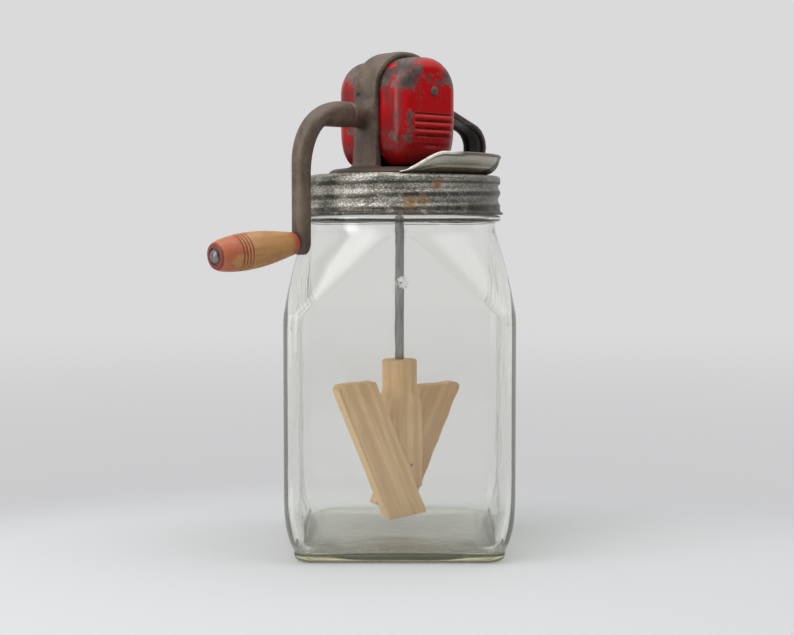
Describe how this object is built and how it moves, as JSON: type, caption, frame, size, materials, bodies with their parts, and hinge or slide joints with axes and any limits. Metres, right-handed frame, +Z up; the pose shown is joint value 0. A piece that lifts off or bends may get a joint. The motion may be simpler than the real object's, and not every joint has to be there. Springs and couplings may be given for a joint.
{
  "type": "butter churn",
  "caption": "Hand-cranked butter churn: square glass jar, screw lid with pouring lip, geared iron head with loop handle, bent crank with wooden grip, wooden paddle dasher.",
  "frame": {"origin": "middle of the flat underside of the jar", "axes": "+Z up along the dasher rod, crank shaft along X with the crank on the -X side, -Y towards the pouring lip"},
  "size_m": [0.2594, 0.205, 0.3378],
  "materials": {
    "glass": "clear, moulded",
    "rubber": "matt",
    "tin": "aged tinplate",
    "cast_iron": "worn, dark",
    "red_enamel": "gloss enamel, chipped",
    "steel": "dull",
    "grip_wood": "worn, red stained ends",
    "maple": "bare, sanded"
  },
  "bodies": {
    "jar": {"jar": "glass"},
    "seal": {"lid_gasket": "rubber"},
    "head": {"screw_lid": "tin", "pour_lip": "tin", "gear_frame": "cast_iron", "frame_screws": "steel", "front_gear_cover": "red_enamel", "rear_gear_cover": "red_enamel", "cover_bolt": "steel", "cover_nut": "steel", "thrust_washer": "steel"},
    "crank": {"crank_arm": "cast_iron", "crank_shaft": "steel", "crank_pin": "steel", "drive_gear": "cast_iron", "drive_gear_pin": "steel", "grip_pin": "steel", "grip_washer": "steel"},
    "grip": {"handle_grip": "grip_wood"},
    "dasher": {"pinion": "cast_iron", "pinion_pin": "steel", "dasher_rod": "steel", "hub_pin": "steel", "dasher_hub": "maple", "front_paddle": "maple", "rear_paddle": "maple", "paddle_nails": "steel"}
  },
  "joints": [
    {"name": "lid_rise", "type": "slide", "parent": "jar", "child": "seal", "axis": [0, 0, 1], "range_m": [0, 0.018]},
    {"name": "lid_turn", "type": "hinge", "parent": "seal", "child": "head", "pos_m": [0, 0, 0.24], "axis": [0, 0, 1], "range_deg": [0, 720]},
    {"name": "crank_turn", "type": "hinge", "parent": "head", "child": "crank", "pos_m": [0, 0, 0.2938], "axis": [1, 0, 0], "continuous": true},
    {"name": "dasher_spin", "type": "hinge", "parent": "head", "child": "dasher", "pos_m": [0, 0, 0.24], "axis": [0, 0, 1], "continuous": true},
    {"name": "grip_spin", "type": "hinge", "parent": "crank", "child": "grip", "pos_m": [-0.086, 0, 0.2098], "axis": [-0.9921, 0, -0.1253], "continuous": true}
  ],
  "couplings": [
    {"joint": "lid_rise", "follows": "lid_turn", "m_per_rad": 0.0014324},
    {"joint": "dasher_spin", "follows": "crank_turn", "ratio": -3}
  ]
}
